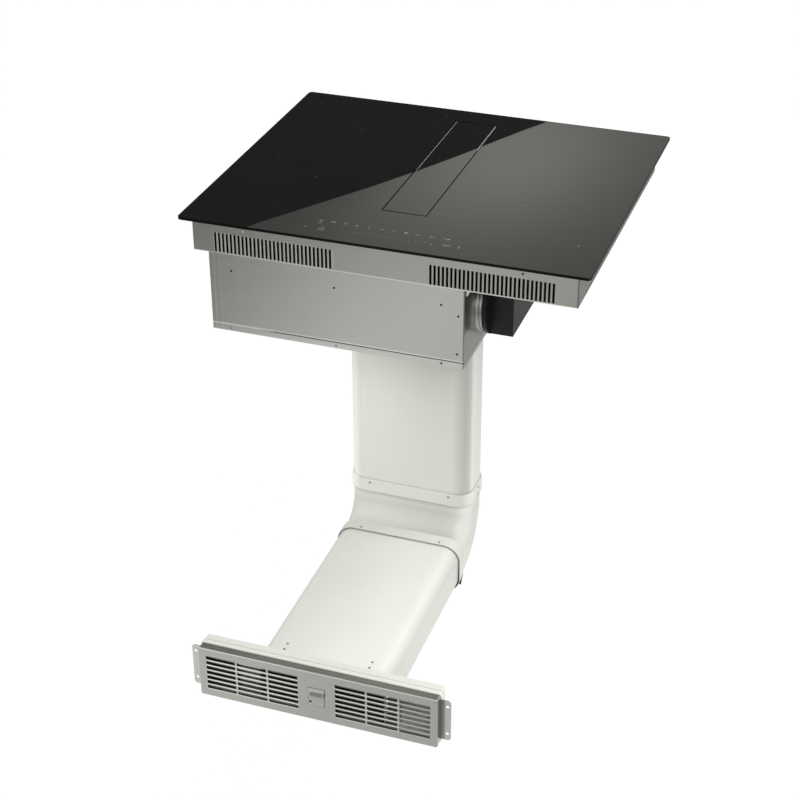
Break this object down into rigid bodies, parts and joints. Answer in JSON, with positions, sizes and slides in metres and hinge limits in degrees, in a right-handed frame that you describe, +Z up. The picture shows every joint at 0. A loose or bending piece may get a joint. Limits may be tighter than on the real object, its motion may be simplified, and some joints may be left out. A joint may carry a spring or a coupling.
{
  "type": "downdraft vent hob",
  "caption": "Glass induction hob with a tilting flap over a central vent slot, a fan box below it, and a flat duct to a slotted plinth outlet.",
  "frame": {"origin": "middle of the front run of the worktop seal, on its underside, which is the worktop surface", "axes": "+X to the user's right, +Y from the front to the back along the vent slot, +Z up out of the glass"},
  "size_m": [0.6, 0.8393, 0.5708],
  "materials": {
    "hob_glass": "polished, opaque black",
    "seal_foam": "matt foam",
    "casing_steel": "satin",
    "screw_steel": "satin",
    "coil_copper": "enamelled copper",
    "coil_carrier": "matt",
    "support_aluminium": "mill",
    "circuit_board": "satin",
    "black_plastic": "matt",
    "bush_brass": "turned",
    "white_plastic": "matt",
    "filter_metal": "expanded mesh",
    "intake_plastic": "satin black",
    "collar_metal": "satin",
    "box_steel": "satin",
    "scroll_plastic": "matt",
    "wheel_plastic": "matt",
    "shaft_steel": "ground",
    "motor_metal": "grey",
    "duct_plastic": "satin white",
    "filter_carbon": "open black foam",
    "front_steel": "satin"
  },
  "bodies": {
    "hob": {"glass_top": "hob_glass", "rim_seal": "seal_foam", "casing_sides": "casing_steel", "casing_back": "casing_steel", "casing_base": "casing_steel", "casing_front_sheet": "casing_steel", "casing_screws": "screw_steel", "coil_windings": "coil_copper", "coil_carriers": "coil_carrier", "coil_supports": "support_aluminium", "power_boards": "circuit_board", "heat_sinks": "support_aluminium", "cooling_fan_frames": "black_plastic", "touch_board": "circuit_board", "cable_gland": "black_plastic", "flap_bushes": "bush_brass", "flap_motor": "white_plastic", "intake_throat": "black_plastic", "throat_floor": "black_plastic", "grease_filter": "filter_metal", "intake_box": "intake_plastic", "drip_tray": "black_plastic", "inlet_collar": "collar_metal", "fan_box": "box_steel", "fan_box_base": "box_steel", "box_hangers": "white_plastic", "box_screws": "screw_steel", "scroll_housing": "scroll_plastic", "scroll_cover": "scroll_plastic", "fan_motor": "motor_metal", "outlet_hood": "scroll_plastic", "duct_spigot": "duct_plastic", "duct_vertical": "duct_plastic", "duct_elbow": "duct_plastic", "duct_horizontal": "duct_plastic", "duct_screws": "screw_steel", "plinth_housing": "duct_plastic", "carbon_filter": "filter_carbon", "mounting_frame": "front_steel", "push_catch": "black_plastic"},
    "flap": {"flap_glass": "hob_glass", "flap_carrier": "casing_steel"},
    "cooling_rotor_left": {"cooling_rotor_left": "black_plastic"},
    "cooling_rotor_right": {"cooling_rotor_right": "black_plastic"},
    "fan_wheel": {"impeller": "wheel_plastic", "fan_shaft": "shaft_steel"},
    "grille": {"grille_panel": "front_steel"},
    "latch": {"grille_latch": "front_steel"}
  },
  "joints": [
    {"name": "flap_tilt", "type": "hinge", "parent": "hob", "child": "flap", "pos_m": [0, 0.285, -0.004], "axis": [0, 1, 0], "range_deg": [0, 80]},
    {"name": "cooling_spin_left", "type": "hinge", "parent": "hob", "child": "cooling_rotor_left", "pos_m": [-0.228, 0.43, -0.036], "axis": [0, 0, 1], "continuous": true},
    {"name": "cooling_spin_right", "type": "hinge", "parent": "hob", "child": "cooling_rotor_right", "pos_m": [0.228, 0.43, -0.036], "axis": [0, 0, 1], "continuous": true},
    {"name": "fan_spin", "type": "hinge", "parent": "hob", "child": "fan_wheel", "pos_m": [-0.163, 0.152, -0.14], "axis": [0, 0, 1], "continuous": true},
    {"name": "grille_pull", "type": "slide", "parent": "hob", "child": "grille", "axis": [0, -1, 0], "range_m": [0, 0.04]},
    {"name": "latch_press", "type": "slide", "parent": "grille", "child": "latch", "axis": [0, 1, 0], "range_m": [0, 0.003], "stiffness_N_per_m": 300}
  ]
}
